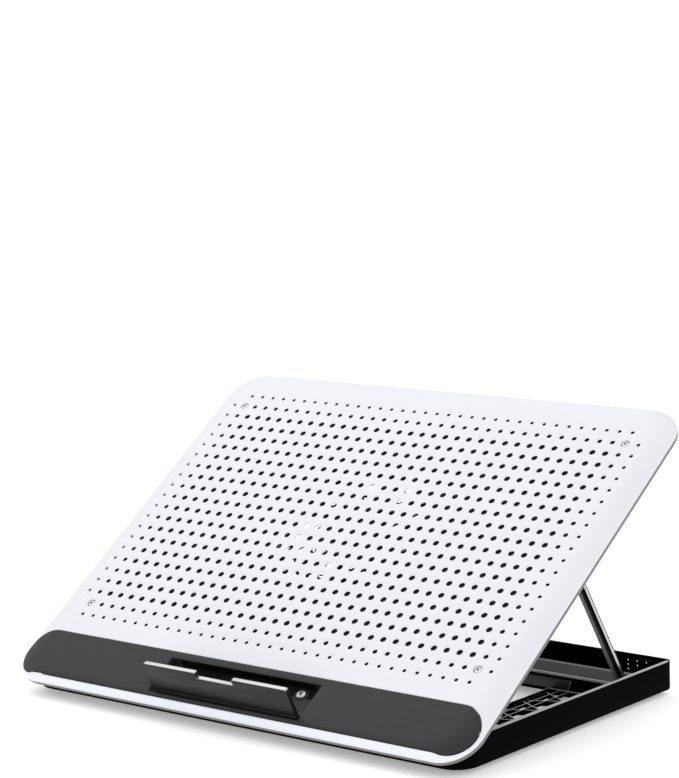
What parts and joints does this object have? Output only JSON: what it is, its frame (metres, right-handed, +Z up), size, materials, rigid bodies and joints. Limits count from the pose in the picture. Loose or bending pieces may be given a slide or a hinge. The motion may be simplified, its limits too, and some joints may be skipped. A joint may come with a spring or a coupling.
{
  "type": "laptop cooling pad",
  "caption": "Tilting perforated laptop stand on a tray base, propped by a folding bail, with a fan underneath and a flip-up stop along the front.",
  "frame": {"origin": "centre of the underside of the bounding box, on the surface that the four rubber feet stand on", "axes": "+X along the width, to the right of the person using it; +Y towards the raised rear; +Z up"},
  "size_m": [0.3858, 0.2578, 0.1877],
  "materials": {
    "white_sheet": "cool white satin powder coat",
    "grey_rim": "light grey satin",
    "dark_strip": "dark grey anodised, brushed lengthwise",
    "stop_plate": "dark grey anodised with a bright top edge",
    "tray_plastic": "black, glossy",
    "cover_plastic": "black, fine texture",
    "fan_plastic": "black, smooth",
    "black_steel": "black semi-gloss paint with bright worn edges",
    "bright_steel": "bright zinc plated",
    "bearing_brass": "sintered",
    "foot_rubber": "matt",
    "copper_winding": "enamelled copper wire",
    "circuit_board": "green solder mask",
    "magnet": "sintered ferrite, matt",
    "switch_plastic": "dark grey moulded",
    "lead_sleeve": "red insulation"
  },
  "bodies": {
    "base": {"base_tray": "tray_plastic", "rubber_foot_front_left": "foot_rubber", "rubber_foot_front_right": "foot_rubber", "rubber_foot_rear_left": "foot_rubber", "rubber_foot_rear_right": "foot_rubber", "hinge_pin_left": "bright_steel", "hinge_pin_right": "bright_steel"},
    "panel": {"top_panel": "white_sheet", "under_rim": "grey_rim", "inner_frame": "cover_plastic", "panel_screw_front_left": "white_sheet", "panel_screw_front_right": "white_sheet", "panel_screw_rear_left": "white_sheet", "panel_screw_rear_right": "white_sheet", "front_strip": "dark_strip", "stop_screw_left": "bright_steel", "stop_screw_right": "bright_steel", "stop_pin": "bright_steel", "panel_hinge_left": "black_steel", "panel_hinge_right": "black_steel", "bail_bracket_left": "cover_plastic", "bail_bracket_right": "cover_plastic", "lower_cover": "cover_plastic", "cover_screw_1": "bright_steel", "cover_screw_2": "bright_steel", "cover_screw_3": "bright_steel", "cover_screw_4": "bright_steel", "fan_frame": "fan_plastic", "fan_screw_1": "bright_steel", "fan_screw_2": "bright_steel", "fan_screw_3": "bright_steel", "fan_screw_4": "bright_steel", "bearing_sleeve": "bearing_brass", "motor_board": "circuit_board", "stator": "copper_winding", "control_board": "circuit_board", "usb_socket_1": "bright_steel", "usb_socket_2": "bright_steel", "speed_dial": "switch_plastic", "light_switch": "switch_plastic", "fan_lead": "lead_sleeve"},
    "stop": {"laptop_stop": "stop_plate"},
    "bail": {"support_bail": "black_steel", "bail_pin_left": "bright_steel", "bail_pin_right": "bright_steel"},
    "rotor": {"impeller": "fan_plastic", "magnet_ring": "magnet", "rotor_shaft": "bright_steel"},
    "dial": {"speed_wheel": "cover_plastic"},
    "button": {"light_button": "cover_plastic"}
  },
  "joints": [
    {"name": "panel_tilt", "type": "hinge", "parent": "base", "child": "panel", "pos_m": [0, -0.09744, 0.02051], "axis": [1, 0, 0], "range_deg": [0, 20]},
    {"name": "bail_fold", "type": "hinge", "parent": "panel", "child": "bail", "pos_m": [0, 0.01964, 0.1098], "axis": [1, 0, 0], "range_deg": [0, 90]},
    {"name": "stop_fold", "type": "hinge", "parent": "panel", "child": "stop", "pos_m": [0, -0.11754, 0.01859], "axis": [-1, 0, 0], "range_deg": [0, 80]},
    {"name": "fan_spin", "type": "hinge", "parent": "panel", "child": "rotor", "pos_m": [0, 0.01582, 0.10531], "axis": [0, -0.5707, 0.8211], "continuous": true},
    {"name": "speed_turn", "type": "hinge", "parent": "panel", "child": "dial", "pos_m": [0.106, 0.06262, 0.13784], "axis": [0, -0.5707, 0.8211], "range_deg": [0, 270]},
    {"name": "light_press", "type": "slide", "parent": "panel", "child": "button", "axis": [0, -0.8211, -0.5707], "range_m": [0, 0.001], "stiffness_N_per_m": 800}
  ]
}
